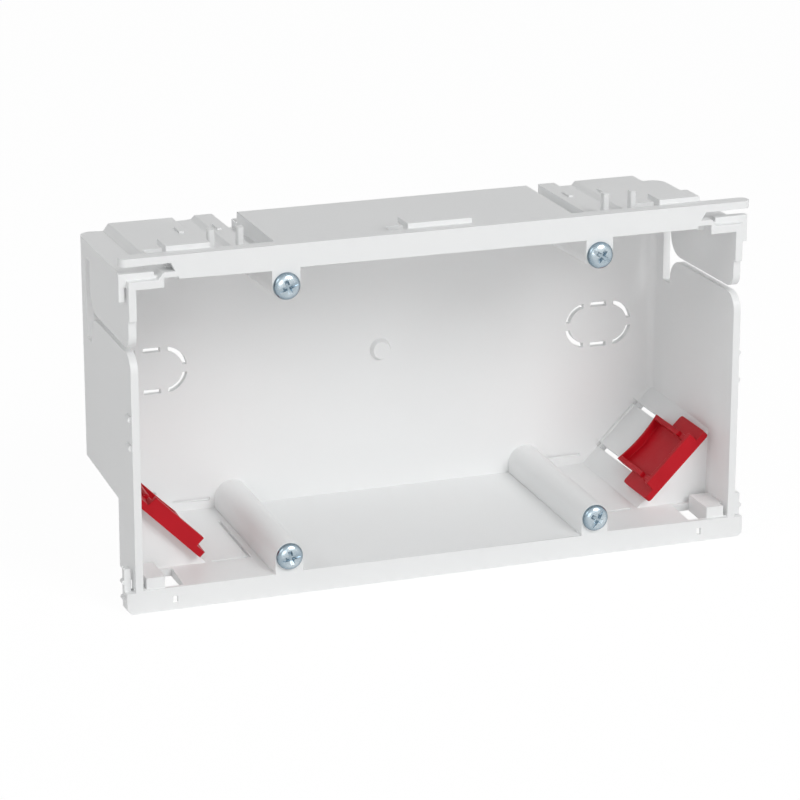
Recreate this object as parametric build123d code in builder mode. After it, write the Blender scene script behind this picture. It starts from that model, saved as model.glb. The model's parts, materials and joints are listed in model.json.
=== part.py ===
from build123d import *
import os
from math import cos, radians, sin, sqrt, tan

# Double device box for trunking: one white moulding, two red sliding cable
# clamps in its lower rear corners and four device screws.
# Millimetres and degrees. X is the width, Y the depth with the open front
# towards -Y, Z is up. The origin is under the middle of the whole box.

# Overall sizes
box_height = 77.7
box_depth = 42.6
body_width = 139.2
rail_length = 142.6

# Walls and moulding drafts
side_wall = 1.7
floor_wall = 1.7
back_wall = 1.6
top_wall = 1.8
side_draft = 0.9
floor_draft = 2.3
outer_corner_radius = 3.0
inner_corner_radius = 1.6

# Front rails: an upright strip with a lip along its outer edge
rail_height = 5.0
rail_thickness = 1.8
lip_thickness = 1.7
lip_depth = 3.4
lip_end_radius = 1.5
strip_length = 120.8
strip_slant = 1.6

# Top wall, stepped down from the rail
deck_drop = 3.5
deck_width = 124.0
deck_side_lean = 1.2
shoulder_drop = 1.5
panel_rise = 1.0
panel_width = 68.2
panel_depth = 38.7
valley_width = 4.5
valley_front_depth = 1.2
valley_rear_depth = 2.3
groove_place = 45.1
groove_width = 5.1
groove_floor_width = 3.3
groove_depth = 0.9
mark_places = (41.0, 49.5)
mark_setback = 29.0
mark_length = 4.0
mark_width = 1.0
mark_rise = 0.4

# Hook bars and upright pins on the top wall
bar_rise = 1.1
bar_thickness = 3.0
hook_reach = 3.5
hook_thickness = 1.3
side_bar_place = 55.7
side_bar_length = 9.6
middle_bar_length = 14.6
window_margin = 0.7
side_window_depth = 12.3
middle_window_depth = 9.1
pin_places = (41.8, 48.2)
pin_setback = 11.1
pin_width = 1.4
pin_thickness = 2.0
pin_height = 5.0
pin_edge_radius = 0.4

# Spring tabs in the upper side walls
slit_height = 56.8
slit_width = 1.2
tab_setback = 0.8
tab_flange_foot = 64.2
tab_corner_radius = 3.0
wall_corner_radius = 4.0
hole_front = 32.8
hole_width = 3.6
hole_foot = 50.8
hole_head = 68.8
hole_corner_radius = 5.0
corner_gap = 1.5
corner_gap_depth = 4.0
flange_setback = 1.6
flange_thickness = 1.8
arm_foot = 71.2
arm_height = 2.95
arm_step_width = 1.65
arm_step_drop = 0.95
leg_thickness = 1.3
leg_foot = 68.15
leg_gap = 0.4

# Lower front corners
end_block_height = 4.7
end_leg_height = 9.7
end_leg_thickness = 1.5
end_leg_gap = 0.5
end_leg_setback = 1.8
end_chamfer = 1.0
ridge_radius = 0.5
ridge_heights = (3.2, 6.8)
nub_radius = 0.7
nub_length = 2.6
nub_setback = 0.6
nub_heights = (36.7, 43.0)
pad_width = 4.9
pad_height = 2.5
pad_setback = 0.6
pad_depth = 9.4
pad_gap = 0.8
pad_gap_depth = 2.4
rail_hole_height = 2.35
rail_hole_width = 1.0
rail_hole_length = 1.5
rail_hole_depth = 1.0
floor_hole_width = 4.2
floor_hole_setback = 0.9
floor_hole_depth = 9.3
edge_chamfer = 3.2

# Device screws and the posts that take them
screw_spacing_x = 71.0
screw_spacing_z = 60.0
screw_middle = 38.8
post_radius = 3.1
post_draft = 1.3
screw_diameter = 3.5
screw_clearance = 0.08
screw_length = 22.0
bore_depth = 25.0
head_diameter = 5.9
head_height = 1.5
head_chamfer = 0.5
head_gap = 0.05
cross_length = 3.4
cross_width = 0.9
cross_depth = 1.0
slot_width = 0.7
slot_depth = 0.6
tip_chamfer = 0.8

# Knock-outs, break lines and the moulding pip on the back wall
knockout_place = 53.4
knockout_height = 40.1
knockout_length = 16.3
knockout_width = 10.6
knockout_slit = 1.0
knockout_bridge = 1.8
pip_diameter = 5.0
pip_height = 1.2
pip_taper = 25.0
pip_lift = 0.9
break_line = 0.7
floor_panel_setback = 11.0
floor_panel_side = 40.6
floor_panel_width = 8.7
floor_panel_depth = 22.0
break_depth = 0.5
panel_break_lift = 2.0
entry_break_lift = 0.8

# Slanting cable entry in each lower rear corner
entry_setback = 11.0
entry_leg = 17.0
entry_wall = 1.7
entry_slit = 1.0
entry_slit_start = 2.2
entry_slit_end = 29.3

# Cable clamp: a tray whose side walls reach through the two slits
clamp_offset = 0.75
clamp_overhang = 2.3
clamp_length = 18.6
clamp_height = 3.75
clamp_side_height = 2.45
clamp_wall = 1.2
clamp_floor = 0.8
clamp_front_wall = 1.3
clamp_rear_wall = 0.8
clamp_saddle = 1.1
clamp_leg_spacing = 12.9
clamp_leg_wall = 0.65
clamp_gap = 0.15
clamp_leg_length = 9.4
clamp_hook = 0.7
clamp_hook_height = 0.8
clamp_play = 0.3
front_wall_width = 14.8
ear_span = 20.1
ear_length = 11.6
ear_thickness = 1.5
ear_radius = 0.8
wall_notch_setback = 4.7
wall_notch_length = 1.9
wall_notch_depth = 0.9

# Planes and levels that follow from the driving sizes
front_y = (head_height + head_gap - box_depth) / 2
rear_y = front_y + box_depth
body_half = body_width / 2
rail_half = rail_length / 2
strip_half = strip_length / 2
deck_half = deck_width / 2
panel_half = panel_width / 2
end_half = body_half + end_leg_gap + end_leg_thickness
bar_rear = lip_depth + bar_thickness
floor_z = rail_height
deck_z = box_height - deck_drop
shoulder_z = deck_z - shoulder_drop
panel_z = deck_z + panel_rise
ceiling_z = deck_z - top_wall
shoulder_ceiling_z = shoulder_z - top_wall
side_slope = tan(radians(side_draft))
floor_slope = tan(radians(floor_draft))
cavity_depth = box_depth - back_wall
post_x = screw_spacing_x / 2
post_low_z = screw_middle - screw_spacing_z / 2
post_high_z = screw_middle + screw_spacing_z / 2
bore_radius = screw_diameter / 2 + screw_clearance
# Overrun of cuts past the faces that they open
reach = 2.0


def side_inner(depth):
    """Half width of the cavity at a depth behind the front."""
    return body_half - side_wall - depth * side_slope


def floor_inner(depth):
    """Height of the cavity's floor at a depth behind the front."""
    return floor_z + depth * floor_slope


def front_plane(depth=0.0):
    """Upright plane facing the open front, at a depth behind it."""
    return Plane((0, front_y + depth, 0), x_dir=(1, 0, 0), z_dir=(0, -1, 0))


# Slanting plane of the right cable entry: its x runs up the slant, its y back
entry_middle_x = side_inner(entry_setback) - entry_leg / 2
entry_middle_z = floor_inner(entry_setback) + entry_leg / 2
entry_normal = (
    -cos(radians(floor_draft)) / sqrt(2),
    -sin(radians(floor_draft)),
    cos(radians(floor_draft)) / sqrt(2),
)
entry_plane = Plane(
    (entry_middle_x, front_y + entry_setback, entry_middle_z),
    x_dir=(1, 0, 1),
    z_dir=entry_normal,
)
entry_size = 2 * entry_leg
entry_back = 2 * box_depth

# Right half of the hollow inside the box, with posts, entry and pad left standing
with BuildPart() as cavity:
    with BuildSketch(Plane.XY) as cavity_plan:
        with BuildLine():
            Polyline(
                (0, front_y - reach),
                (side_inner(-reach), front_y - reach),
                (side_inner(cavity_depth), front_y + cavity_depth),
                (0, front_y + cavity_depth),
                close=True,
            )
        make_face()
        inner_corner = cavity_plan.vertices().sort_by_distance((body_half, rear_y))[0]
        fillet(inner_corner, inner_corner_radius)
    extrude(amount=box_height)
    with BuildSketch(Plane.YZ):
        with BuildLine():
            Polyline(
                (front_y - reach, floor_inner(-reach)),
                (front_y + cavity_depth, floor_inner(cavity_depth)),
                (front_y + cavity_depth, shoulder_ceiling_z),
                (front_y - reach, shoulder_ceiling_z),
                close=True,
            )
        make_face()
    extrude(amount=body_width, mode=Mode.INTERSECT)
    with BuildSketch(Plane.XY.offset(floor_z + rail_height)):
        with Locations((0, front_y - reach)):
            Rectangle(
                deck_half - top_wall, cavity_depth + reach, align=(Align.MIN, Align.MIN)
            )
    extrude(amount=ceiling_z - floor_z - rail_height)
    with BuildSketch(front_plane()):
        with Locations((post_x, post_low_z)):
            Circle(post_radius)
            Rectangle(2 * post_radius, post_low_z, align=(Align.CENTER, Align.MAX))
        with Locations((post_x, post_high_z)):
            Circle(post_radius)
            Rectangle(2 * post_radius, box_height - post_high_z, align=(Align.CENTER, Align.MIN))
    extrude(amount=-box_depth, taper=-post_draft, mode=Mode.SUBTRACT)
    with BuildSketch(entry_plane):
        Rectangle(entry_size, entry_back, align=(Align.CENTER, Align.MIN))
    extrude(amount=-entry_size, mode=Mode.SUBTRACT)
    with BuildSketch(Plane.XY):
        with Locations((side_inner(0) + reach, front_y + pad_setback)):
            Rectangle(pad_width + reach, pad_depth, align=(Align.MAX, Align.MIN))
    extrude(amount=floor_inner(pad_setback) + pad_height, mode=Mode.SUBTRACT)
    with BuildSketch(front_plane(cavity_depth)):
        with Locations((0, screw_middle + pip_lift)):
            Circle(pip_diameter / 2)
    extrude(amount=pip_height, taper=pip_taper, mode=Mode.SUBTRACT)

# White moulded box: the right half is shaped, then mirrored
with BuildPart() as box_body:
    with BuildSketch(Plane.XY) as body_plan:
        with BuildLine():
            Polyline(
                (0, front_y),
                (body_half, front_y),
                (body_half - box_depth * side_slope, rear_y),
                (0, rear_y),
                close=True,
            )
        make_face()
        outer_corner = body_plan.vertices().sort_by_distance((body_half, rear_y))[0]
        fillet(outer_corner, outer_corner_radius)
    extrude(amount=shoulder_z)
    with BuildSketch(Plane.YZ):
        with BuildLine():
            Polyline(
                (front_y, floor_z - floor_wall),
                (rear_y, floor_z - floor_wall + box_depth * floor_slope),
                (rear_y, shoulder_z),
                (front_y, shoulder_z),
                close=True,
            )
        make_face()
    extrude(amount=body_width, mode=Mode.INTERSECT)

    # Stepped deck and the raised panel in its middle
    with BuildSketch(front_plane()):
        with BuildLine():
            Polyline(
                (0, shoulder_ceiling_z),
                (deck_half + deck_side_lean, shoulder_ceiling_z),
                (deck_half + deck_side_lean, shoulder_z),
                (deck_half, deck_z),
                (0, deck_z),
                close=True,
            )
        make_face()
    extrude(amount=-box_depth)
    with BuildSketch(Plane.XY.offset(shoulder_z)):
        with Locations((0, rear_y)):
            Rectangle(panel_half, box_depth - panel_depth, align=(Align.MIN, Align.MAX))
    extrude(amount=deck_drop, mode=Mode.SUBTRACT)
    with BuildSketch(Plane.XY.offset(shoulder_z)):
        with Locations((0, front_y)):
            Rectangle(panel_half, panel_depth, align=(Align.MIN, Align.MIN))
    extrude(amount=panel_z - shoulder_z)
    with BuildSketch(front_plane()):
        with BuildLine():
            Polyline(
                (groove_place - groove_width / 2, deck_z),
                (groove_place - groove_floor_width / 2, deck_z - groove_depth),
                (groove_place + groove_floor_width / 2, deck_z - groove_depth),
                (groove_place + groove_width / 2, deck_z),
                close=True,
            )
        make_face()
    extrude(amount=-box_depth, mode=Mode.SUBTRACT)
    with BuildSketch(Plane.XY.offset(deck_z - groove_depth)):
        with Locations([(place, front_y + mark_setback) for place in mark_places]):
            Rectangle(mark_width, mark_length, align=(Align.CENTER, Align.MIN))
    extrude(amount=groove_depth + mark_rise)
    with BuildSketch(Plane.YZ.offset(panel_half)):
        with BuildLine():
            Polyline(
                (front_y + rail_thickness, deck_z - valley_front_depth),
                (rear_y + reach, deck_z - valley_front_depth - valley_rear_depth),
                (rear_y + reach, box_height),
                (front_y + rail_thickness, box_height),
                close=True,
            )
        make_face()
    extrude(amount=valley_width, mode=Mode.SUBTRACT)

    add(cavity.part, mode=Mode.SUBTRACT)

    # Outside of the cable entry corner, cut away behind the front skirt
    with BuildSketch(entry_plane.offset(-entry_wall)):
        with Locations((0, entry_wall)):
            Rectangle(entry_size, entry_back, align=(Align.CENTER, Align.MIN))
    extrude(amount=-entry_size, mode=Mode.SUBTRACT)

    # Chamfer along the lower outer edge of the skirt
    with BuildSketch(front_plane(lip_depth)):
        with BuildLine():
            Polyline(
                (body_half + reach, floor_z - floor_wall - reach),
                (body_half + reach, floor_z - floor_wall + edge_chamfer + reach),
                (body_half - edge_chamfer - reach, floor_z - floor_wall - reach),
                close=True,
            )
        make_face()
    extrude(amount=-entry_setback, mode=Mode.SUBTRACT)

    # Upper rail: slanted strip, full length lip
    with BuildSketch(front_plane()):
        with BuildLine():
            Polyline(
                (0, box_height),
                (strip_half, box_height),
                (strip_half, box_height - lip_thickness),
                (strip_half - strip_slant, box_height - rail_height),
                (0, box_height - rail_height),
                close=True,
            )
        make_face()
    extrude(amount=-rail_thickness)
    with BuildSketch(Plane.XY.offset(box_height - lip_thickness)) as lip_plan:
        with Locations((0, front_y)):
            Rectangle(rail_half, lip_depth, align=(Align.MIN, Align.MIN))
        fillet(lip_plan.vertices().group_by(Axis.X)[-1], lip_end_radius)
    extrude(amount=lip_thickness)

    # Lower rail with its lip, the block at its end and the ridged leg on the block
    with BuildSketch(front_plane()):
        Rectangle(body_half, rail_height, align=(Align.MIN, Align.MIN))
    extrude(amount=-rail_thickness)
    with BuildSketch(front_plane()):
        Rectangle(body_half, lip_thickness, align=(Align.MIN, Align.MIN))
    extrude(amount=-lip_depth)
    with BuildSketch(front_plane()) as end_block:
        with Locations((body_half - side_wall, 0)):
            Rectangle(
                end_half - body_half + side_wall, end_block_height, align=(Align.MIN, Align.MIN)
            )
        low_corner = end_block.vertices().sort_by_distance((body_width, 0))[0]
        chamfer(low_corner, end_chamfer)
    extrude(amount=-lip_depth)
    with BuildSketch(front_plane(end_leg_setback)):
        with Locations((end_half, end_leg_height)):
            Rectangle(
                end_leg_thickness, end_leg_height - end_chamfer, align=(Align.MAX, Align.MAX)
            )
        with Locations([(end_half, height) for height in ridge_heights]):
            Circle(ridge_radius)
    extrude(amount=end_leg_setback - lip_depth)

    # Small upright pit in the lower rail, in front of the snap hole
    with BuildSketch(front_plane()):
        with Locations((side_inner(0) - pad_width - floor_hole_width / 2, rail_hole_height)):
            Rectangle(rail_hole_width, rail_hole_length)
    extrude(amount=-rail_hole_depth, mode=Mode.SUBTRACT)

    # Slit between the pad and the side wall
    pad_gap_end = pad_setback + pad_gap_depth
    with BuildSketch(Plane.XY.offset(floor_inner(pad_gap_end))):
        with BuildLine():
            Polyline(
                (side_inner(0), front_y),
                (side_inner(pad_gap_end), front_y + pad_gap_end),
                (side_inner(pad_gap_end) - pad_gap, front_y + pad_gap_end),
                (side_inner(0) - pad_gap, front_y),
                close=True,
            )
        make_face()
    extrude(amount=2 * pad_height, mode=Mode.SUBTRACT)

    # Small nubs outside the side walls
    with BuildSketch(front_plane(nub_setback)):
        with Locations([(body_half, height) for height in nub_heights]):
            Circle(nub_radius)
    extrude(amount=-nub_length)

    # Gap between the strip's end and the corner tab
    with BuildSketch(Plane.XY.offset(shoulder_ceiling_z - reach)):
        with Locations((strip_half + corner_gap, front_y - reach)):
            Rectangle(
                corner_gap + strip_slant, corner_gap_depth + reach, align=(Align.MAX, Align.MIN)
            )
    extrude(
        amount=box_height - lip_thickness - shoulder_ceiling_z - rail_height + 2 * reach,
        mode=Mode.SUBTRACT,
    )

    # Slit, rear hole and rounded corners that free the spring tab
    with BuildSketch(Plane.YZ.offset(body_half - side_wall - 2 * reach)) as tab_cut:
        with Locations((front_y - reach, slit_height)):
            Rectangle(reach + hole_front + hole_width, slit_width, align=(Align.MIN, Align.MIN))
        with Locations((front_y + hole_front, hole_foot)):
            Rectangle(hole_width, hole_head - hole_foot, align=(Align.MIN, Align.MIN))
        with Locations((front_y - reach, slit_height)):
            Rectangle(
                reach + tab_setback, tab_flange_foot - slit_height, align=(Align.MIN, Align.MIN)
            )
        with Locations((front_y, slit_height + slit_width)):
            Rectangle(
                reach, slit_height - hole_foot + slit_width, align=(Align.MAX, Align.MAX)
            )
        for place, radius in (
            ((front_y + hole_front, slit_height + slit_width), hole_corner_radius),
            ((front_y + hole_front, slit_height), hole_corner_radius),
            ((front_y + tab_setback, slit_height + slit_width), tab_corner_radius),
            ((front_y, slit_height), wall_corner_radius),
        ):
            fillet(tab_cut.vertices().sort_by_distance(place)[0], radius)
    extrude(amount=side_wall + 3 * reach, mode=Mode.SUBTRACT)

    # Corner flange of the tab: inward arm and outer leg
    with BuildSketch(front_plane(flange_setback)):
        with Locations((strip_half + corner_gap, arm_foot)):
            Rectangle(
                body_half + leg_gap + leg_thickness - strip_half - corner_gap,
                arm_height,
                align=(Align.MIN, Align.MIN),
            )
        with Locations((strip_half + corner_gap, arm_foot + arm_height)):
            Rectangle(
                arm_step_width, arm_step_drop, align=(Align.MIN, Align.MAX), mode=Mode.SUBTRACT
            )
        with Locations((body_half + leg_gap, leg_foot)):
            Rectangle(
                leg_thickness, arm_foot + arm_height - leg_foot, align=(Align.MIN, Align.MIN)
            )
    extrude(amount=-flange_thickness)

    # Hook bars behind the upper rail, each over a window in the deck
    bar_z = box_height + bar_rise
    for bar_place, bar_length, window_depth in (
        (0, middle_bar_length, middle_window_depth),
        (side_bar_place, side_bar_length, side_window_depth),
    ):
        with BuildSketch(Plane.XY.offset(ceiling_z - reach)):
            with Locations((bar_place, front_y + bar_rear)):
                Rectangle(
                    bar_length + 2 * window_margin, window_depth, align=(Align.CENTER, Align.MIN)
                )
        extrude(amount=panel_z - ceiling_z + 2 * reach, mode=Mode.SUBTRACT)
        with BuildSketch(Plane.YZ.offset(bar_place - bar_length / 2)):
            with BuildLine():
                Polyline(
                    (front_y + lip_depth, ceiling_z),
                    (front_y + lip_depth, bar_z),
                    (front_y + bar_rear + hook_reach, bar_z),
                    (front_y + bar_rear + hook_reach, bar_z - hook_thickness),
                    (front_y + bar_rear, bar_z - hook_thickness),
                    (front_y + bar_rear, ceiling_z),
                    close=True,
                )
            make_face()
        extrude(amount=bar_length)

    # Upright pins on the deck
    for pin_place in pin_places:
        with BuildSketch(Plane.XY.offset(ceiling_z)):
            with Locations((pin_place, front_y + pin_setback + pin_thickness / 2)):
                RectangleRounded(pin_width, pin_thickness, pin_edge_radius)
        extrude(amount=deck_z + pin_height - ceiling_z)

    # Bores for the device screws
    with BuildSketch(front_plane()):
        with Locations((post_x, post_low_z), (post_x, post_high_z)):
            Circle(bore_radius)
    extrude(amount=-bore_depth, mode=Mode.SUBTRACT)

    # Obround knock-out, six slits through the back wall
    with BuildSketch(front_plane(cavity_depth - pip_height)):
        with Locations((knockout_place, knockout_height)):
            SlotOverall(knockout_length, knockout_width)
            SlotOverall(
                knockout_length - 2 * knockout_slit,
                knockout_width - 2 * knockout_slit,
                mode=Mode.SUBTRACT,
            )
            Rectangle(2 * knockout_length, knockout_bridge, mode=Mode.SUBTRACT)
            with GridLocations((knockout_length - knockout_width), knockout_width, 2, 2):
                Rectangle(knockout_bridge, knockout_width / 2, mode=Mode.SUBTRACT)
    extrude(amount=-back_wall - pip_height - reach, mode=Mode.SUBTRACT)

    # Break lines of the floor panel beside the post
    with BuildSketch(Plane.YZ.offset(floor_panel_side)):
        with BuildLine():
            panel_front = floor_panel_setback
            panel_rear = floor_panel_setback + floor_panel_depth
            Polyline(
                (front_y + panel_front, floor_inner(panel_front) - break_line),
                (front_y + panel_rear, floor_inner(panel_rear) - break_line),
                (front_y + panel_rear, floor_inner(panel_rear) + break_line),
                (front_y + panel_front, floor_inner(panel_front) + break_line),
                close=True,
            )
        make_face()
    extrude(amount=break_line, mode=Mode.SUBTRACT)
    with BuildSketch(front_plane(floor_panel_setback)):
        with Locations((floor_panel_side, floor_inner(floor_panel_setback) - break_line)):
            Rectangle(floor_panel_width, 2 * break_line, align=(Align.MIN, Align.MIN))
    extrude(amount=-break_line, mode=Mode.SUBTRACT)

    # Break lines across the back wall, above the floor panel and the cable entry
    entry_run = (cavity_depth - entry_setback) / cos(radians(floor_draft))
    entry_rear = entry_plane.from_local_coords(Vector(clamp_offset, entry_run, 0))
    lift_step = entry_break_lift / sqrt(2)
    slit_step = clamp_leg_spacing / 2 / sqrt(2)
    with BuildSketch(front_plane(cavity_depth)):
        with Locations((floor_panel_side, floor_inner(cavity_depth) + panel_break_lift)):
            Rectangle(floor_panel_width, break_line, align=(Align.MIN, Align.MIN))
        with Locations((entry_rear.X - lift_step, entry_rear.Z + lift_step)):
            Rectangle(clamp_leg_spacing, break_line, rotation=45)
        for side in (-1, 1):
            end_x = entry_rear.X + side * slit_step - lift_step / 2
            end_z = entry_rear.Z + side * slit_step + lift_step / 2
            with Locations((end_x, end_z)):
                Rectangle(entry_slit, entry_break_lift + 2 * break_line, rotation=45)
    extrude(amount=-break_depth, mode=Mode.SUBTRACT)

    # Snap hole in the floor beside the pad
    with BuildSketch(Plane.XY):
        with Locations((side_inner(0) - pad_width, front_y + floor_hole_setback)):
            Rectangle(floor_hole_width, floor_hole_depth, align=(Align.MAX, Align.MIN))
    extrude(amount=floor_z + reach, mode=Mode.SUBTRACT)

    # Two slits beside the break-out panel of the cable entry
    with BuildSketch(entry_plane.offset(reach)):
        with Locations((clamp_offset, entry_slit_start)):
            with GridLocations(clamp_leg_spacing, 0, 2, 1):
                Rectangle(
                    entry_slit,
                    entry_slit_end - entry_slit_start,
                    align=(Align.CENTER, Align.MIN),
                )
    extrude(amount=-entry_wall - 2 * reach, mode=Mode.SUBTRACT)

    mirror(about=Plane.YZ)

# Right cable clamp, pushed fully forward
clamp_plane = Plane(
    entry_plane.from_local_coords(Vector(clamp_offset, -clamp_overhang, clamp_gap)),
    x_dir=entry_plane.x_dir,
    z_dir=entry_plane.z_dir,
)
tray_half = (clamp_leg_spacing + clamp_leg_wall) / 2
leg_start = clamp_overhang + entry_slit_start + clamp_play
leg_foot_z = clamp_gap + entry_wall + clamp_gap + clamp_hook_height

with BuildPart() as clamp_right:
    with BuildSketch(clamp_plane):
        with BuildLine():
            Polyline(
                (-tray_half, clamp_length),
                (-tray_half, 0),
                (tray_half, 0),
                (tray_half, clamp_length),
            )
            ThreePointArc(
                (tray_half, clamp_length),
                (0, clamp_length - clamp_saddle),
                (-tray_half, clamp_length),
            )
        make_face()
    extrude(amount=clamp_side_height)
    with BuildSketch(clamp_plane):
        Rectangle(front_wall_width, clamp_front_wall, align=(Align.CENTER, Align.MIN))
    extrude(amount=clamp_height)
    with BuildSketch(clamp_plane) as ears:
        Rectangle(ear_span, ear_length, align=(Align.CENTER, Align.MIN))
        fillet(ears.vertices(), ear_radius)
    extrude(amount=ear_thickness)
    pocket_half = tray_half - clamp_wall
    pocket_rear = clamp_length - clamp_rear_wall
    with BuildSketch(clamp_plane.offset(clamp_floor)):
        with BuildLine():
            Polyline(
                (-pocket_half, pocket_rear),
                (-pocket_half, clamp_front_wall),
                (pocket_half, clamp_front_wall),
                (pocket_half, pocket_rear),
            )
            ThreePointArc(
                (pocket_half, pocket_rear),
                (0, pocket_rear - clamp_saddle),
                (-pocket_half, pocket_rear),
            )
        make_face()
    extrude(amount=clamp_height, mode=Mode.SUBTRACT)
    with BuildSketch(clamp_plane.offset(clamp_side_height)):
        with Locations((0, wall_notch_setback)):
            Rectangle(ear_span, wall_notch_length, align=(Align.CENTER, Align.MIN))
    extrude(amount=-wall_notch_depth, mode=Mode.SUBTRACT)
    with BuildSketch(clamp_plane.offset(clamp_floor)):
        with Locations((0, leg_start)):
            with GridLocations(clamp_leg_spacing, 0, 2, 1):
                Rectangle(clamp_leg_wall, clamp_leg_length, align=(Align.CENTER, Align.MIN))
    extrude(amount=-clamp_floor - leg_foot_z)
    with BuildSketch(clamp_plane.offset(-leg_foot_z)):
        with Locations((0, leg_start)):
            Rectangle(
                clamp_leg_spacing + clamp_leg_wall + 2 * clamp_hook,
                clamp_leg_length,
                align=(Align.CENTER, Align.MIN),
            )
            Rectangle(
                clamp_leg_spacing - clamp_leg_wall,
                clamp_leg_length,
                align=(Align.CENTER, Align.MIN),
                mode=Mode.SUBTRACT,
            )
    extrude(amount=clamp_hook_height)

with BuildPart() as clamp_left:
    mirror(clamp_right.part, about=Plane.YZ)

box_body.part.label = "box_body"
clamp_right.part.label = "cable_clamp_right"
clamp_left.part.label = "cable_clamp_left"
pieces = [box_body.part, clamp_left.part, clamp_right.part]

# Four device screws, pan heads with a combined cross and slot
screw_turns = {"top_left": 20.0, "top_right": -35.0, "bottom_left": 12.0, "bottom_right": 58.0}
for screw_name, screw_turn in screw_turns.items():
    screw_x = post_x if screw_name.endswith("right") else -post_x
    screw_z = post_high_z if screw_name.startswith("top") else post_low_z
    seat = Plane((screw_x, front_y - head_gap, screw_z), x_dir=(1, 0, 0), z_dir=(0, -1, 0))
    with BuildPart() as screw:
        with BuildSketch(seat):
            Circle(head_diameter / 2)
        extrude(amount=head_height)
        chamfer(screw.edges().filter_by(GeomType.CIRCLE).sort_by(Axis.Y)[0], head_chamfer)
        with BuildSketch(seat):
            Circle(screw_diameter / 2)
        extrude(amount=-screw_length)
        chamfer(screw.edges().filter_by(GeomType.CIRCLE).sort_by(Axis.Y)[-1], tip_chamfer)
        with BuildSketch(seat.offset(head_height)):
            with Locations(Rotation(0, 0, screw_turn)):
                Rectangle(cross_length, cross_width)
                Rectangle(cross_width, cross_length)
        extrude(amount=-cross_depth, mode=Mode.SUBTRACT)
        with BuildSketch(seat.offset(head_height)):
            Rectangle(head_diameter, slot_width, rotation=screw_turn)
        extrude(amount=-slot_depth, mode=Mode.SUBTRACT)
    screw.part.label = "screw_" + screw_name
    pieces.append(screw.part)

os.makedirs("parts", exist_ok=True)
for piece in pieces:
    export_step(piece, f"parts/{piece.label}.step")
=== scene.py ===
"""Looks of a double device box for trunking.

A white moulding with soft edges, two red cable clamps and four zinc plated screws, on a pale floor
in soft studio light. Lengths are metres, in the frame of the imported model: X is the width, the open
front faces -Y and Z is up.
"""

import json
import logging
import math
from dataclasses import dataclass
from enum import Enum
from typing import Any

import bmesh
import bpy
from mathutils import Euler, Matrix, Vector

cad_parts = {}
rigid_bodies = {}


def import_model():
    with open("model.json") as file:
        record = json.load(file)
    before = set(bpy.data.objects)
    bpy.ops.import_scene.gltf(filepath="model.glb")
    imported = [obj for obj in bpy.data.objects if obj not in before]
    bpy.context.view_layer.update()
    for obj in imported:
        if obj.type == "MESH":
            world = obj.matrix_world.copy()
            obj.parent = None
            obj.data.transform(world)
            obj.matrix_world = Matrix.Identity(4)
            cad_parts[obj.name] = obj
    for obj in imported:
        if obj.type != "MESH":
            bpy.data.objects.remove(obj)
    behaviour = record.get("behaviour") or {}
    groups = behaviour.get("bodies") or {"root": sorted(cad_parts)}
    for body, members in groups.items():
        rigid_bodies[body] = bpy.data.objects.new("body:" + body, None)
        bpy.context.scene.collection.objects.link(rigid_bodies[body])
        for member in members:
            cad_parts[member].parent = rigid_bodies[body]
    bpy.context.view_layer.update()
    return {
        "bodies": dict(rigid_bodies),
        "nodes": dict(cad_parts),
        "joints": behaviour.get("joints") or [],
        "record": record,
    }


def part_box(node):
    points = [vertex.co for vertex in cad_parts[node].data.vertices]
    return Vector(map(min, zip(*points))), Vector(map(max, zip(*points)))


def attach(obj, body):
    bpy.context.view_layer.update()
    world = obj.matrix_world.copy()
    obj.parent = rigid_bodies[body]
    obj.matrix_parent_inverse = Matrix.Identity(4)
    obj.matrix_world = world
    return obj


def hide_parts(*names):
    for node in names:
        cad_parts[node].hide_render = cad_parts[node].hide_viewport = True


LOG = logging.getLogger("device_box")
MM = 0.001

Colour = tuple[float, float, float, float]
# An output socket to link, or a plain value to set
Source = Any

PLAIN_WHITE: Colour = (1.0, 1.0, 1.0, 1.0)

# Rounding that the mould leaves on the edges of the box and of the clamps
BOX_EDGE = 0.14 * MM
CLAMP_EDGE = 0.16 * MM

# Attribute on a screw's points that paints shade into its finish: a painted dark reflection on the
# rim and painted shade in the recess
PAINTED_SHADE_NAME = "painted_shade"

# Turn of each screw's cross and slot in degrees, as the screws were left
SCREW_TURNS = {
    "screw_top_left": 20.0,
    "screw_top_right": -35.0,
    "screw_bottom_left": 12.0,
    "screw_bottom_right": 58.0,
}


class Slot(Enum):
    """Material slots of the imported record."""

    WHITE = "white_plastic"
    RED = "red_plastic"
    ZINC = "zinc_steel"


class TreeKind(Enum):
    """Kinds of node group that the script makes."""

    SHADER = "ShaderNodeTree"
    GEOMETRY = "GeometryNodeTree"


class Kind(Enum):
    """Socket types that the node groups use."""

    VALUE = "NodeSocketFloat"
    COLOUR = "NodeSocketColor"
    VECTOR = "NodeSocketVector"
    MATERIAL = "NodeSocketMaterial"
    GEOMETRY = "NodeSocketGeometry"


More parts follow.
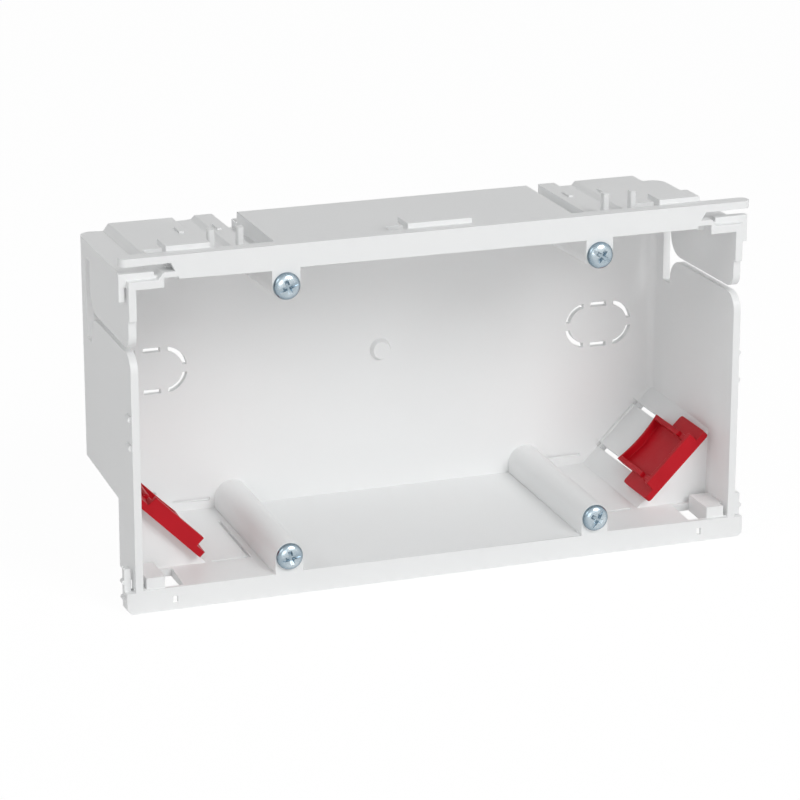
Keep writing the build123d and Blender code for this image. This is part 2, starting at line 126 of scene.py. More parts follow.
@dataclass
class NodeSheet:
    """A node tree with short ways to add nodes and join them."""

    tree: bpy.types.NodeTree

    # Middle of a noise's range, where nearly all of its values lie
    NOISE_LOW = 0.3
    NOISE_HIGH = 0.7

    # A Mix node's colour sockets, by number because their names repeat for each data type
    MIX_SHARE = 0
    MIX_FIRST = 6
    MIX_SECOND = 7
    MIX_RESULT = 2

    @property
    def given(self) -> bpy.types.bpy_prop_collection:
        """Sockets that hold what a group is given."""
        return self.tree.nodes["Inputs"].outputs

    @property
    def results(self) -> bpy.types.bpy_prop_collection:
        """Sockets that take what a group gives back."""
        return self.tree.nodes["Outputs"].inputs

    def feed(self, target: bpy.types.NodeSocket, source: Source) -> None:
        """Link a socket to a target, or set the target's own value.

        Args:
            target: The input socket.
            source: An output socket, or a plain value.
        """
        if isinstance(source, bpy.types.NodeSocket):
            self.tree.links.new(source, target)
        else:
            target.default_value = source

    def add(
        self, kind: str, inputs: dict[str | int, Source] | None = None, **settings: Any
    ) -> bpy.types.Node:
        """Add one node.

        Args:
            kind: Blender's name of the node type.
            inputs: What to feed to the node's inputs, by their names or numbers.
            settings: Properties to set on the node.

        Returns:
            The new node.
        """
        node = self.tree.nodes.new(kind)
        for name, value in settings.items():
            setattr(node, name, value)
        for label, source in (inputs or {}).items():
            self.feed(node.inputs[label], source)
        return node

    def calc(self, operation: str, first: Source, second: Source = 0.0) -> bpy.types.NodeSocket:
        """Add a Math node.

        Args:
            operation: Blender's name of the operation.
            first: Socket or number for the first input.
            second: Socket or number for the second input.

        Returns:
            The node's output socket.
        """
        node = self.add("ShaderNodeMath", {0: first, 1: second}, operation=operation)
        return node.outputs[0]

    def half(self, size: Source) -> bpy.types.NodeSocket:
        """Halve a size."""
        return self.calc("DIVIDE", size, 2.0)

    def square(self, value: Source) -> bpy.types.NodeSocket:
        """Square a value."""
        return self.calc("POWER", value, 2.0)

    def split(self, vector: Source) -> tuple[bpy.types.NodeSocket, ...]:
        """Give the three parts of a vector."""
        return tuple(self.add("ShaderNodeSeparateXYZ", {0: vector}).outputs)

    def vector(self, x: Source, y: Source, z: Source) -> bpy.types.NodeSocket:
        """Join three sockets or numbers to a vector."""
        return self.add("ShaderNodeCombineXYZ", {0: x, 1: y, 2: z}).outputs[0]

    def noise(self, where: Source, scale: Source, detail: float) -> bpy.types.NodeSocket:
        """Add a Noise Texture.

        Args:
            where: Coordinates of the pattern.
            scale: Socket or number for its scale.
            detail: Octaves of finer noise.

        Returns:
            The noise value's socket.
        """
        inputs = {"Vector": where, "Scale": scale, "Detail": detail}
        return self.add("ShaderNodeTexNoise", inputs).outputs[0]

    def ramp(
        self, value: Source, start: float, end: float, low: Source = 0.0, high: Source = 1.0
    ) -> bpy.types.NodeSocket:
        """Go from a low to a high result as a value goes from a start to an end.

        Args:
            value: Socket with the value.
            start: Where the result is the low one.
            end: Where the result is the high one.
            low: Socket or number for the low result.
            high: Socket or number for the high result.

        Returns:
            The result's socket, held between the two results.
        """
        inputs = {
            "Value": value,
            "From Min": start,
            "From Max": end,
            "To Min": low,
            "To Max": high,
        }
        return self.add("ShaderNodeMapRange", inputs).outputs[0]

    def spread(self, value: Source, low: Source, high: Source) -> bpy.types.NodeSocket:
        """Map the middle of a noise's range to two given values."""
        return self.ramp(value, self.NOISE_LOW, self.NOISE_HIGH, low, high)

    def blend(self, share: Source, first: Source, second: Source) -> bpy.types.NodeSocket:
        """Mix two colours.

        Args:
            share: Socket or number, 0 for the first and 1 for the second.
            first: Socket or colour.
            second: Socket or colour.

        Returns:
            The mixed colour's socket.
        """
        inputs = {self.MIX_SHARE: share, self.MIX_FIRST: first, self.MIX_SECOND: second}
        return self.add("ShaderNodeMix", inputs, data_type="RGBA").outputs[self.MIX_RESULT]


def new_group(
    name: str, tree_kind: TreeKind, inputs: dict[str, Kind], outputs: dict[str, Kind]
) -> NodeSheet:
    """Start a node group.

    Args:
        name: The group's name.
        tree_kind: What the group is for.
        inputs: Input names with their kinds.
        outputs: Output names with their kinds.

    Returns:
        The group's sheet, with its input and output nodes in place.
    """
    tree = bpy.data.node_groups.new(name, tree_kind.value)
    for way, sockets in (("INPUT", inputs), ("OUTPUT", outputs)):
        for label, kind in sockets.items():
            tree.interface.new_socket(name=label, in_out=way, socket_type=kind.value)
    sheet = NodeSheet(tree)
    sheet.add("NodeGroupInput", name="Inputs")
    sheet.add("NodeGroupOutput", name="Outputs")
    return sheet


def new_object(name: str, data: bpy.types.ID) -> bpy.types.Object:
    """Put a new object in the scene, at the origin.

    Args:
        name: The object's name.
        data: Its mesh, lamp or camera.

    Returns:
        The object.
    """
    thing = bpy.data.objects.new(name, data)
    bpy.context.scene.collection.objects.link(thing)
    return thing


def turned_to(place: Vector, aim: Vector) -> Euler:
    """Give the rotation of a lamp or a camera that looks from a place at an aim."""
    return (aim - place).to_track_quat("-Z", "Y").to_euler()


@dataclass
class SurfaceEffects:
    """Shader groups that the finishes share."""

    moulded_skin: bpy.types.NodeTree
    tone_drift: bpy.types.NodeTree

    GRAIN_DETAIL = 4.0
    RIPPLE_DETAIL = 1.0
    RIPPLE_LIFT = 4.0
    CLOUD_DETAIL = 3.0

    @classmethod
    def build(cls) -> "SurfaceEffects":
        """Make each shared group once."""
        return cls(cls._moulded_skin(), cls._tone_drift())

    @classmethod
    def _moulded_skin(cls) -> bpy.types.NodeTree:
        """Make the skin of a moulded part: fine tool grain, flow ripple and uneven gloss.

        Returns:
            The group, with Height and Roughness outputs.
        """
        inputs = dict.fromkeys(("Grain Scale", "Ripple Scale", "Smooth", "Rough"), Kind.VALUE)
        outputs = dict.fromkeys(("Height", "Roughness"), Kind.VALUE)
        sheet = new_group("moulded_skin", TreeKind.SHADER, inputs, outputs)
        given, results = sheet.given, sheet.results
        where = sheet.add("ShaderNodeTexCoord").outputs["Object"]
        grain = sheet.noise(where, given["Grain Scale"], cls.GRAIN_DETAIL)
        ripple = sheet.noise(where, given["Ripple Scale"], cls.RIPPLE_DETAIL)
        ripple_height = sheet.calc("MULTIPLY", ripple, cls.RIPPLE_LIFT)
        sheet.feed(results["Height"], sheet.calc("ADD", grain, ripple_height))
        sheet.feed(results["Roughness"], sheet.spread(grain, given["Smooth"], given["Rough"]))
        return sheet.tree

    @classmethod
    def _tone_drift(cls) -> bpy.types.NodeTree:
        """Make a slow drift between two tones over a surface.

        Returns:
            The group, with a Colour output.
        """
        inputs = {"Tone": Kind.COLOUR, "Second Tone": Kind.COLOUR, "Drift Scale": Kind.VALUE}
        sheet = new_group("tone_drift", TreeKind.SHADER, inputs, {"Colour": Kind.COLOUR})
        given = sheet.given
        where = sheet.add("ShaderNodeTexCoord").outputs["Object"]
        cloud = sheet.noise(where, given["Drift Scale"], cls.CLOUD_DETAIL)
        share = sheet.spread(cloud, 0.0, 1.0)
        colour = sheet.blend(share, given["Tone"], given["Second Tone"])
        sheet.feed(sheet.results["Colour"], colour)
        return sheet.tree


@dataclass
class Surface:
    """A node material in the making."""

    material: bpy.types.Material
    sheet: NodeSheet
    shader: bpy.types.Node

    @classmethod
    def start(cls, name: str) -> "Surface":
        """Start a material with a plain Principled shader.

        Args:
            name: The material's name.

        Returns:
            The new surface.
        """
        material = bpy.data.materials.new(name)
        material.use_nodes = True
        tree = material.node_tree
        return cls(material, NodeSheet(tree), tree.nodes["Principled BSDF"])

    def feed(self, label: str, source: Source) -> None:
        """Feed one input of the shader."""
        self.sheet.feed(self.shader.inputs[label], source)


@dataclass(frozen=True)
class GrainedFinish:
    """Tones, gloss and grain that every finish of the box has."""

    name: str
    tone: Colour
    second_tone: Colour
    drift_scale: float
    grain_scale: float
    ripple_scale: float
    smooth: float
    rough: float
    bump_strength: float
    bump_height: float

    def _skinned(self, effects: SurfaceEffects) -> tuple[Surface, bpy.types.NodeSocket]:
        """Start the material with its gloss and its grain.

        Args:
            effects: The shared shader groups.

        Returns:
            The surface and the socket of its drifting tone.
        """
        surface = Surface.start(self.name)
        tones = {
            "Tone": self.tone,
            "Second Tone": self.second_tone,
            "Drift Scale": self.drift_scale,
        }
        drift = surface.sheet.add("ShaderNodeGroup", tones, node_tree=effects.tone_drift)
        grain = {
            "Grain Scale": self.grain_scale,
            "Ripple Scale": self.ripple_scale,
            "Smooth": self.smooth,
            "Rough": self.rough,
        }
        skin = surface.sheet.add("ShaderNodeGroup", grain, node_tree=effects.moulded_skin)
        relief = {
            "Strength": self.bump_strength,
            "Distance": self.bump_height,
            "Height": skin.outputs["Height"],
        }
        bump = surface.sheet.add("ShaderNodeBump", relief)
        surface.feed("Roughness", skin.outputs["Roughness"])
        surface.feed("Normal", bump.outputs["Normal"])
        return surface, drift.outputs["Colour"]


@dataclass(frozen=True)
class MouldedPlastic(GrainedFinish):
    """Finish of an injection moulded piece."""

    specular: float

    def material(self, effects: SurfaceEffects) -> bpy.types.Material:
        """Build the finish.

        Args:
            effects: The shared shader groups.

        Returns:
            The new material.
        """
        surface, tone = self._skinned(effects)
        surface.feed("Base Color", tone)
        surface.feed("Specular IOR Level", self.specular)
        return surface.material


@dataclass(frozen=True)
class ZincPlate(GrainedFinish):
    """Finish of a screw: bluish passivated zinc with painted shade on its rim and in its recess."""

    painted_shade_tone: Colour
    metallic: float = 1.0

    def material(self, effects: SurfaceEffects) -> bpy.types.Material:
        """Build the finish.

        Args:
            effects: The shared shader groups.

        Returns:
            The new material.
        """
        surface, tone = self._skinned(effects)
        # Painted shade: a dark tone mixed in by the named attribute, as a dark reflection on the rim
        # and as shade in the recess
        painted_shade = surface.sheet.add("ShaderNodeAttribute", attribute_name=PAINTED_SHADE_NAME)
        colour = surface.sheet.blend(painted_shade.outputs["Fac"], tone, self.painted_shade_tone)
        surface.feed("Base Color", colour)
        surface.feed("Metallic", self.metallic)
        return surface.material


WHITE_PLASTIC = MouldedPlastic(
    name="white_moulded_plastic",
    tone=(0.912, 0.920, 0.920, 1.0),
    second_tone=(0.898, 0.908, 0.910, 1.0),
    drift_scale=28.0,
    grain_scale=2600.0,
    ripple_scale=60.0,
    smooth=0.36,
    rough=0.46,
    bump_strength=0.12,
    bump_height=0.02 * MM,
    specular=0.45,
)

RED_PLASTIC = MouldedPlastic(
    name="red_moulded_plastic",
    tone=(0.54, 0.005, 0.015, 1.0),
    second_tone=(0.48, 0.004, 0.012, 1.0),
    drift_scale=90.0,
    grain_scale=2200.0,
    ripple_scale=110.0,
    smooth=0.36,
    rough=0.48,
    bump_strength=0.15,
    bump_height=0.02 * MM,
    specular=0.24,
)

ZINC_PLATE = ZincPlate(
    name="blue_zinc_plate",
    tone=(0.56, 0.63, 0.67, 1.0),
    second_tone=(0.40, 0.48, 0.54, 1.0),
    drift_scale=420.0,
    grain_scale=3200.0,
    ripple_scale=700.0,
    smooth=0.16,
    rough=0.30,
    bump_strength=0.20,
    bump_height=0.02 * MM,
    # Tone of the painted shade on the rim and in the recess
    painted_shade_tone=(0.16, 0.24, 0.30, 1.0),
)


@dataclass
class SoftEdgedMoulding:
    """A moulded piece whose CAD solid is kept and whose edges are eased as a tool leaves them."""

    name: str
    node: str
    body: str
    slot: Slot
    edge_radius: float
    edge_segments: int = 2
    edge_profile: float = 0.5
    # Room that a rounding needs along an edge and across a face, in edge radii
    corner_room: float = 3.0
    face_room: float = 2.5
    sharp_angle: float = math.radians(30.0)
    crease_angle: float = math.radians(50.0)
    acute_corner: float = math.radians(25.0)
    flat_angle: float = math.radians(0.4)
    merge_distance: float = 0.001 * MM

    def build(self, frame: dict[str, Any], material: bpy.types.Material) -> bpy.types.Object:
        """Make the piece and put it on its body in place of the plain node.

        Args:
            material: The finish.

        Returns:
            The new piece.
        """
        mesh = frame["nodes"][self.node].data.copy()
        mesh.name = self.name
        self._shape(mesh)
        mesh.materials.clear()
        mesh.materials.append(material)
        piece = new_object(self.name, mesh)
        flats = piece.modifiers.new("flat_faces", "WEIGHTED_NORMAL")
        flats.keep_sharp = True
        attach(piece, self.body)
        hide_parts(self.node)
        return piece

    def _shape(self, mesh: bpy.types.Mesh) -> None:
        """Merge the loose triangles of a node's copy into flat faces and ease the edges.

        Args:
            mesh: The copy, changed in place.
        """
        shell = bmesh.new()
        shell.from_mesh(mesh)
        bmesh.ops.remove_doubles(shell, verts=shell.verts, dist=self.merge_distance)
        bmesh.ops.dissolve_limit(
            shell, angle_limit=self.flat_angle, verts=shell.verts, edges=shell.edges
        )
        for face in shell.faces:
            face.smooth = True
        self._ease_edges(shell)
        for edge in shell.edges:
            if edge.calc_face_angle(0.0) > self.crease_angle:
                edge.smooth = False
        shell.to_mesh(mesh)
        shell.free()

    def _ease_edges(self, shell: bmesh.types.BMesh) -> None:
        """Round the sharp edges that have room for it and crease the others.

        Args:
            shell: The merged faces, changed in place.
        """
        sharp = [edge for edge in shell.edges if edge.calc_face_angle(0.0) > self.sharp_angle]
        closed = {corner for corner in shell.verts if not self._is_open(corner)}
        for edge in sharp:
            near = self._corners_near(edge)
            if near:
                closed.update(near, edge.verts)
        eased = [edge for edge in sharp if closed.isdisjoint(edge.verts)]
        for edge in sharp:
            edge.smooth = closed.isdisjoint(edge.verts)
        bmesh.ops.bevel(
            shell,
            geom=eased,
            offset=self.edge_radius,
            offset_type="OFFSET",
            segments=self.edge_segments,
            profile=self.edge_profile,
            affect="EDGES",
            clamp_overlap=False,
        )

    def _is_open(self, corner: bmesh.types.BMVert) -> bool:
        """Tell whether the edges that meet at a corner are long and open enough to be eased.

        Args:
            corner: The vertex where they meet.

        Returns:
            True if a rounding of the edge radius fits there.
        """
        shortest = min(edge.calc_length() for edge in corner.link_edges)
        tightest = min(loop.calc_angle() for loop in corner.link_loops)
        return shortest > self.corner_room * self.edge_radius and tightest > self.acute_corner

    def _corners_near(self, edge: bmesh.types.BMEdge) -> list[bmesh.types.BMVert]:
        """Find where the faces along an edge are too narrow for a rounding.

        Args:
            edge: The sharp edge.

        Returns:
            The other corners of its faces that lie beside it and close to it.
        """
        least = self.face_room * self.edge_radius
        near = []
        for loop in edge.link_loops:
            start = loop.vert.co
            along = (loop.link_loop_next.vert.co - start).normalized()
            inward = loop.face.normal.cross(along)
            for corner in loop.face.verts:
                offset = corner.co - start
                beside = 0.0 < offset.dot(along) < edge.calc_length()
                if beside and 0.0 < offset.dot(inward) < least and corner not in edge.verts:
                    near.append(corner)
        return near


class ScrewTree:
    """Geometry Nodes tree of one device screw, its axis along +Z until it is put on its seat."""

    SIZES = (
        "Head Diameter",
        "Head Height",
        "Shank Diameter",
        "Shank Length",
        "Thread Pitch",
        "Thread Depth",
        "Cross Span",
        "Cross Width",
        "Cross Depth",
        "Slot Width",
        "Slot Depth",
        "Turn",
    )
    UNIT = 1.0
    HEAD_SEGMENTS = 64
    HEAD_RINGS = 40
    HEAD_FULLNESS = 0.78
    SHANK_VERTICES = 28
    SHANK_SEGMENTS = 190
    # Share of the head's height that the shank goes up into it
    SHANK_OVERLAP = 0.25
    # Width of the tip as a share of the shank, and the turns of thread over which it narrows
    TIP_SHARE = 0.65
    TIP_TURNS = 2.0
    CROSS_TAPER = 0.45
    SLOT_TAPER = 1.0
    SLOT_OVERRUN = 1.2
    # A cutter's block reaches as far above the top of the head as below it
    CUTTER_BLOCK = (1.0, 1.0, 2.0)
    # Painted shade: shares of the head where it starts on the rim and is full in the recess, with
    # strengths
    RIM_START = 0.66
    RIM_PAINTED_SHADE = 0.8
    RECESS_FILL = 0.40
    RECESS_PAINTED_SHADE = 0.35
    SMALLEST = 0.0001
    SHARP_ANGLE = math.radians(35.0)
    # Turn from the tree's +Z to the front of the box, which faces -Y
    TO_FRONT = (math.pi / 2, 0.0, 0.0)

    def __init__(self) -> None:
        """Build the tree."""
        inputs = dict.fromkeys(self.SIZES, Kind.VALUE)
        inputs.update({"Seat": Kind.VECTOR, "Finish": Kind.MATERIAL})
        outputs = {"Screw": Kind.GEOMETRY}
        self.sheet = new_group("device_screw", TreeKind.GEOMETRY, inputs, outputs)
        self.given = self.sheet.given
        body = self._boolean("UNION", [self._head(), self._shank()])
        screw = self._boolean("DIFFERENCE", self._recess(), body)
        self._finish(self._with_painted_shade(screw))

    def bake(self, name: str, values: dict[str, Any]) -> bpy.types.Object:
        """Make one screw as a plain mesh.

        Args:
            name: The piece's name.
            values: A value for each named input.

        Returns:
            The new object, with no modifier left on it.
        """
        piece = new_object(name, bpy.data.meshes.new(name))
        modifier = piece.modifiers.new("screw_tree", "NODES")
        modifier.node_group = self.sheet.tree
        for item in self.sheet.tree.interface.items_tree:
            if item.in_out == "INPUT":
                modifier[item.identifier] = values[item.name]
        shaped = piece.evaluated_get(bpy.context.evaluated_depsgraph_get())
        mesh = bpy.data.meshes.new_from_object(shaped)
        piece.modifiers.remove(modifier)
        piece.data = mesh
        mesh.name = name
        return piece

    def _boolean(
        self, operation: str, tools: list[bpy.types.NodeSocket], target: Source = None
    ) -> bpy.types.NodeSocket:
        """Join solids, or cut tools out of a target.

        Args:
            operation: UNION or DIFFERENCE.
            tools: The solids to join or to cut with.
            target: The solid that is cut.

        Returns:
            The resulting solid.
        """
        node = self.sheet.add("GeometryNodeMeshBoolean", operation=operation, solver="EXACT")
        if target is not None:
            self.sheet.feed(node.inputs["Mesh 1"], target)
        for tool in tools:
            self.sheet.feed(node.inputs["Mesh 2"], tool)
        return node.outputs["Mesh"]

    def _placed(self, solid: Source, where: Source) -> bpy.types.NodeSocket:
        """Put each point of a solid where a vector says."""
        inputs = {"Geometry": solid, "Position": where}
        return self.sheet.add("GeometryNodeSetPosition", inputs).outputs[0]

    def _point(self) -> tuple[bpy.types.NodeSocket, ...]:
        """Give the parts of a point's own place."""
        return self.sheet.split(self.sheet.add("GeometryNodeInputPosition").outputs[0])

    def _from_axis(self, x: Source, y: Source) -> bpy.types.NodeSocket:
        """Give a point's distance from the screw's axis."""
        squares = self.sheet.calc("ADD", self.sheet.square(x), self.sheet.square(y))
        return self.sheet.calc("SQRT", squares)

    def _head(self) -> bpy.types.NodeSocket:
        """Swell a ball to a full pan head with a flat underside.

        Returns:
            The head, its underside at the origin.
        """
        sheet = self.sheet
        sizes = {
            "Segments": self.HEAD_SEGMENTS,
            "Rings": self.HEAD_RINGS,
            "Radius": self.UNIT,
        }
        ball = sheet.add("GeometryNodeMeshUVSphere", sizes)
        x, y, z = self._point()
        across = sheet.calc("MAXIMUM", self._from_axis(x, y), self.SMALLEST)
        fuller = sheet.calc("POWER", across, self.HEAD_FULLNESS - self.UNIT)
        spread = sheet.calc("MULTIPLY", fuller, sheet.half(self.given["Head Diameter"]))
        rise = sheet.calc("POWER", sheet.calc("MAXIMUM", z, 0.0), self.HEAD_FULLNESS)
        place = sheet.vector(
            sheet.calc("MULTIPLY", x, spread),
            sheet.calc("MULTIPLY", y, spread),
            sheet.calc("MULTIPLY", rise, self.given["Head Height"]),
        )
        return self._placed(ball.outputs["Mesh"], place)

    def _shank(self) -> bpy.types.NodeSocket:
        """Cut a helical thread into a rod that narrows at its tip.

        Returns:
            The threaded rod, its upper end sunk into the head.
        """
        sheet = self.sheet
        pitch = self.given["Thread Pitch"]
        overlap = sheet.calc("MULTIPLY", self.given["Head Height"], self.SHANK_OVERLAP)
        length = sheet.calc("ADD", self.given["Shank Length"], overlap)
        sizes = {
            "Vertices": self.SHANK_VERTICES,
            "Side Segments": self.SHANK_SEGMENTS,
            "Radius": self.UNIT,
            "Depth": length,
        }
        rod = sheet.add("GeometryNodeMeshCylinder", sizes)
        x, y, z = self._point()
        turns = sheet.calc("DIVIDE", z, pitch)
        round_share = sheet.calc("DIVIDE", sheet.calc("ARCTAN2", y, x), math.tau)
        phase = sheet.calc("FRACT", sheet.calc("SUBTRACT", turns, round_share))
        rise_and_fall = sheet.calc("SUBTRACT", sheet.calc("MULTIPLY", phase, 2.0), self.UNIT)
        flank = sheet.calc("ABSOLUTE", rise_and_fall)
        cut = sheet.calc("MULTIPLY", flank, self.given["Thread Depth"])
        radius = sheet.calc("SUBTRACT", sheet.half(self.given["Shank Diameter"]), cut)
        from_tip = sheet.calc("ADD", z, sheet.half(length))
        tip_run = sheet.calc("MULTIPLY", pitch, self.TIP_TURNS)
        up_the_tip = sheet.calc("DIVIDE", from_tip, tip_run)
        narrowing = sheet.ramp(up_the_tip, 0.0, self.UNIT, self.TIP_SHARE)
        radius = sheet.calc("MULTIPLY", radius, narrowing)
        sunk = sheet.calc("SUBTRACT", z, sheet.half(length))
        place = sheet.vector(
            sheet.calc("MULTIPLY", x, radius),
            sheet.calc("MULTIPLY", y, radius),
            sheet.calc("ADD", sunk, overlap),
        )
        return self._placed(rod.outputs["Mesh"], place)

    def _recess(self) -> list[bpy.types.NodeSocket]:
        """Make the cutters of the cross and of the slot across the head.

        Returns:
            The two wings of the cross and the slot.
        """
        span, width = self.given["Cross Span"], self.given["Cross Width"]
        depth = self.given["Cross Depth"]
        wide = self.sheet.calc("MULTIPLY", self.given["Head Diameter"], self.SLOT_OVERRUN)
        return [
            self._wing(span, width, depth, self.CROSS_TAPER),
            self._wing(width, span, depth, self.CROSS_TAPER),
            self._wing(wide, self.given["Slot Width"], self.given["Slot Depth"], self.SLOT_TAPER),
        ]

    def _wing(
        self, along: Source, across: Source, depth: Source, taper: float
    ) -> bpy.types.NodeSocket:
        """Make one cutter that opens at the top of the head.

        Args:
            along: Its size on X at the top.
            across: Its size on Y at the top.
            depth: How far it goes down into the head.
            taper: Its size at the bottom as a share of the top.

        Returns:
            The cutter.
        """
        sheet = self.sheet
        block = sheet.add("GeometryNodeMeshCube", {"Size": self.CUTTER_BLOCK})
        x, y, z = self._point()
        upper = sheet.calc("GREATER_THAN", z, 0.0)
        # The upper end is as much wider than the opening as the lower end is narrower
        widening = 2.0 * (self.UNIT - taper)
        share = sheet.calc("ADD", sheet.calc("MULTIPLY", upper, widening), taper)
        place = sheet.vector(
            sheet.calc("MULTIPLY", sheet.calc("MULTIPLY", x, along), share),
            sheet.calc("MULTIPLY", sheet.calc("MULTIPLY", y, across), share),
            sheet.calc("ADD", sheet.calc("MULTIPLY", z, depth), self.given["Head Height"]),
        )
        return self._placed(block.outputs["Mesh"], place)

    def _with_painted_shade(self, screw: bpy.types.NodeSocket) -> bpy.types.NodeSocket:
        """Keep on each point how much painted shade it gets, out on the rim and down in the recess.

        Args:
            screw: The solid on its own axis.

        Returns:
            The same solid with the named attribute of painted shade that its finish reads.
        """
        sheet = self.sheet
        x, y, z = self._point()
        head_radius = sheet.half(self.given["Head Diameter"])
        out = sheet.calc("DIVIDE", self._from_axis(x, y), head_radius)
        up = sheet.calc("DIVIDE", sheet.calc("MAXIMUM", z, 0.0), self.given["Head Height"])
        power = 2.0 / self.HEAD_FULLNESS
        fill = sheet.calc("ADD", sheet.calc("POWER", out, power), sheet.calc("POWER", up, power))
        # Painted shade grows out towards the rim's edge and down into the recess
        rim = sheet.ramp(out, self.RIM_START, self.UNIT)
        recess = sheet.ramp(fill, self.UNIT, self.RECESS_FILL)
        rim_painted_shade = sheet.calc("MULTIPLY", rim, self.RIM_PAINTED_SHADE)
        recess_painted_shade = sheet.calc("MULTIPLY", recess, self.RECESS_PAINTED_SHADE)
        kept = sheet.add("GeometryNodeStoreNamedAttribute", data_type="FLOAT", domain="POINT")
        sheet.feed(kept.inputs["Geometry"], screw)
        sheet.feed(kept.inputs["Name"], PAINTED_SHADE_NAME)
        sheet.feed(kept.inputs["Value"], sheet.calc("MAXIMUM", rim_painted_shade, recess_painted_shade))
        return kept.outputs[0]

    def _finish(self, screw: bpy.types.NodeSocket) -> None:
        """Shade the screw, put it on its seat and give it its finish.

        Args:
            screw: The solid on its own axis.
        """
        sheet = self.sheet
        smooth = sheet.add("GeometryNodeSetShadeSmooth", {"Geometry": screw})
        angle = sheet.add("GeometryNodeInputMeshEdgeAngle").outputs[0]
        creases = {
            "Geometry": smooth.outputs[0],
            "Selection": sheet.calc("GREATER_THAN", angle, self.SHARP_ANGLE),
            "Shade Smooth": False,
        }
        creased = sheet.add("GeometryNodeSetShadeSmooth", creases, domain="EDGE")
        turn = {
            "Geometry": creased.outputs[0],
            "Rotation": sheet.vector(0.0, 0.0, self.given["Turn"]),
        }
        turned = sheet.add("GeometryNodeTransform", turn)
        seat = {
            "Geometry": turned.outputs[0],
            "Rotation": self.TO_FRONT,
            "Translation": self.given["Seat"],
        }
        seated = sheet.add("GeometryNodeTransform", seat)
        real = sheet.add("GeometryNodeRealizeInstances", {0: seated.outputs[0]})
        finish = {"Geometry": real.outputs[0], "Material": self.given["Finish"]}
        dressed = sheet.add("GeometryNodeSetMaterial", finish)
        sheet.feed(sheet.results["Screw"], dressed.outputs[0])


@dataclass
class DeviceScrew:
    """A zinc plated pan head screw with a combined cross and slot, in its post."""

    node: str
    turn: float
    head_height: float = 1.5 * MM
    shank_diameter: float = 3.46 * MM
    thread_pitch: float = 0.6 * MM
    thread_depth: float = 0.32 * MM
    cross_span: float = 3.5 * MM
    cross_width: float = 1.0 * MM
    cross_depth: float = 0.7 * MM
    slot_width: float = 0.75 * MM
    slot_depth: float = 0.4 * MM

    def build(self, tree: ScrewTree, material: bpy.types.Material) -> bpy.types.Object:
        """Make the screw where its node sits and let it turn with its own body.

        Args:
            tree: The shared tree.
            material: The finish.

        Returns:
            The new piece.
        """
        low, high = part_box(self.node)
        seat = Vector(((low.x + high.x) / 2, low.y + self.head_height, (low.z + high.z) / 2))
        values = {
            "Head Diameter": high.x - low.x,
            "Head Height": self.head_height,
            "Shank Diameter": self.shank_diameter,
            "Shank Length": high.y - seat.y,
            "Thread Pitch": self.thread_pitch,
            "Thread Depth": self.thread_depth,
            "Cross Span": self.cross_span,
            "Cross Width": self.cross_width,
            "Cross Depth": self.cross_depth,
            "Slot Width": self.slot_width,
            "Slot Depth": self.slot_depth,
            "Turn": self.turn,
            "Seat": seat,
            "Finish": material,
        }
        piece = tree.bake("zinc_" + self.node, values)
        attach(piece, "turning_" + self.node)
        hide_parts(self.node)
        return piece


@dataclass
class SoftLamp:
    """One large soft lamp of the studio."""

    name: str
    place: Vector
    power: float
    width: float = 0.8
    height: float = 0.8
    aim: Vector = Vector((0.0, 0.0, 0.04))

    def build(self) -> bpy.types.Object:
        """Make the lamp and turn it to its aim.

        Returns:
            The lamp.
        """
        data = bpy.data.lights.new(self.name, "AREA")
        data.shape = "ELLIPSE"
        data.size = self.width
        data.size_y = self.height
        data.energy = self.power
        lamp = new_object(self.name, data)
        lamp.location = self.place
        lamp.rotation_euler = turned_to(self.place, self.aim)
        return lamp


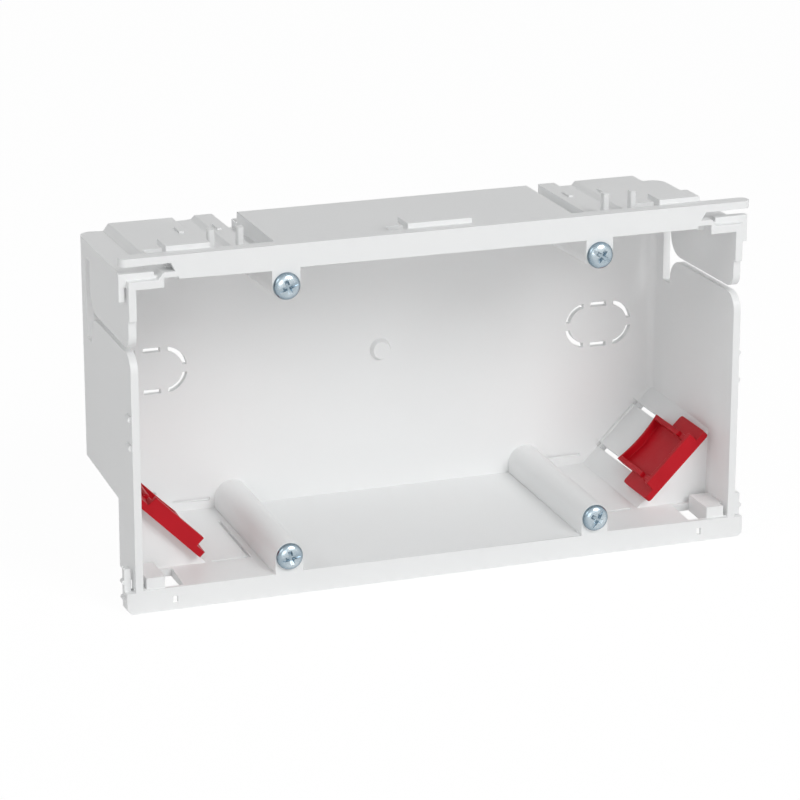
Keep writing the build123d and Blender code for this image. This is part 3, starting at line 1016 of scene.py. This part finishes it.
@dataclass
class StudioStage:
    """Pale floor, even surroundings, soft lamps and the camera."""

    floor_size: float = 12.0
    floor_white: Colour = (0.90, 0.90, 0.90, 1.0)
    floor_roughness: float = 1.0
    floor_specular: float = 0.0
    # Share of plain white over the floor where it is seen, and the strength of that white
    ground_veil: float = 0.93
    ground_glow: float = 1.03
    # Strength of the sky where it lights the object, and where it is seen
    ambient: float = 0.25
    backdrop: float = 1.0
    eye: Vector = Vector((-0.24861, -0.66912, 0.26142))
    target: Vector = Vector((-0.010292, -0.020525, 0.041034))
    lens: float = 152.95
    sensor: float = 36.0
    lamps: tuple[SoftLamp, ...] = (
        SoftLamp("key_lamp", Vector((0.46, -1.14, 0.90)), power=10.0),
        SoftLamp("low_lamp", Vector((-0.51, -1.40, 0.25)), power=3.1),
        SoftLamp("left_lamp", Vector((-1.22, -0.33, 0.86)), power=3.0),
        SoftLamp("rear_lamp", Vector((0.15, 1.30, 0.04)), power=6.0, height=0.07),
    )

    def build(self) -> None:
        """Make the whole stage."""
        bpy.context.scene.view_settings.view_transform = "Standard"
        self._floor()
        self._surroundings()
        for lamp in self.lamps:
            lamp.build()
        self._camera()

    @staticmethod
    def _seen_directly(sheet: NodeSheet) -> bpy.types.NodeSocket:
        """Tell rays that show the background from rays that only light the object.

        Args:
            sheet: The material's or the world's sheet.

        Returns:
            A value of 1 for camera, glossy and transmission rays.
        """
        rays = sheet.add("ShaderNodeLightPath").outputs
        mirrored = sheet.calc("MAXIMUM", rays["Is Glossy Ray"], rays["Is Transmission Ray"])
        return sheet.calc("MAXIMUM", rays["Is Camera Ray"], mirrored)

    def _floor(self) -> None:
        """Lay a white floor that keeps a faint shadow."""
        half = self.floor_size / 2
        corners = [(-half, -half, 0), (half, -half, 0), (half, half, 0), (-half, half, 0)]
        mesh = bpy.data.meshes.new("studio_floor")
        mesh.from_pydata(corners, [], [range(len(corners))])
        floor = new_object("studio_floor", mesh)
        surface = Surface.start("studio_white")
        surface.feed("Base Color", self.floor_white)
        surface.feed("Roughness", self.floor_roughness)
        surface.feed("Specular IOR Level", self.floor_specular)
        sheet = surface.sheet
        glow = sheet.add("ShaderNodeEmission", {"Strength": self.ground_glow})
        share = sheet.calc("MULTIPLY", self._seen_directly(sheet), self.ground_veil)
        layers = {0: share, 1: surface.shader.outputs["BSDF"], 2: glow.outputs["Emission"]}
        mix = sheet.add("ShaderNodeMixShader", layers)
        sheet.feed(sheet.tree.nodes["Material Output"].inputs["Surface"], mix.outputs[0])
        mesh.materials.append(surface.material)

    def _surroundings(self) -> None:
        """Give an even sky, seen as plain white and lighting the object more weakly."""
        world = bpy.data.worlds.new("studio_surroundings")
        world.use_nodes = True
        bpy.context.scene.world = world
        sheet = NodeSheet(world.node_tree)
        seen = self._seen_directly(sheet)
        level = sheet.ramp(seen, 0.0, 1.0, self.ambient, self.backdrop)
        background = world.node_tree.nodes["Background"]
        sheet.feed(background.inputs["Color"], PLAIN_WHITE)
        sheet.feed(background.inputs["Strength"], level)

    def _camera(self) -> None:
        """Put the camera at the fitted viewpoint."""
        data = bpy.data.cameras.new("studio_camera")
        data.lens = self.lens
        data.sensor_width = self.sensor
        camera = new_object("studio_camera", data)
        camera.location = self.eye
        camera.rotation_euler = turned_to(self.eye, self.target)
        bpy.context.scene.camera = camera


def main() -> None:
    """Load the frame, dress each sub-assembly and set the stage."""
    logging.basicConfig(level=logging.INFO, format="%(name)s: %(message)s")
    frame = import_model()
    effects = SurfaceEffects.build()
    white = WHITE_PLASTIC.material(effects)
    red = RED_PLASTIC.material(effects)
    zinc = ZINC_PLATE.material(effects)
    box = SoftEdgedMoulding("moulded_box", "box_body", "box", Slot.WHITE, BOX_EDGE)
    pieces = [box.build(frame, white)]
    for side in ("left", "right"):
        clamp = SoftEdgedMoulding(
            f"red_clamp_{side}", f"cable_clamp_{side}", f"clamp_{side}", Slot.RED, CLAMP_EDGE
        )
        pieces.append(clamp.build(frame, red))
    screw_tree = ScrewTree()
    for node, turn in SCREW_TURNS.items():
        pieces.append(DeviceScrew(node, math.radians(turn)).build(screw_tree, zinc))
    for piece in pieces:
        LOG.info("%s: %d faces", piece.name, len(piece.data.polygons))
    StudioStage().build()


if __name__ == "__main__":
    main()
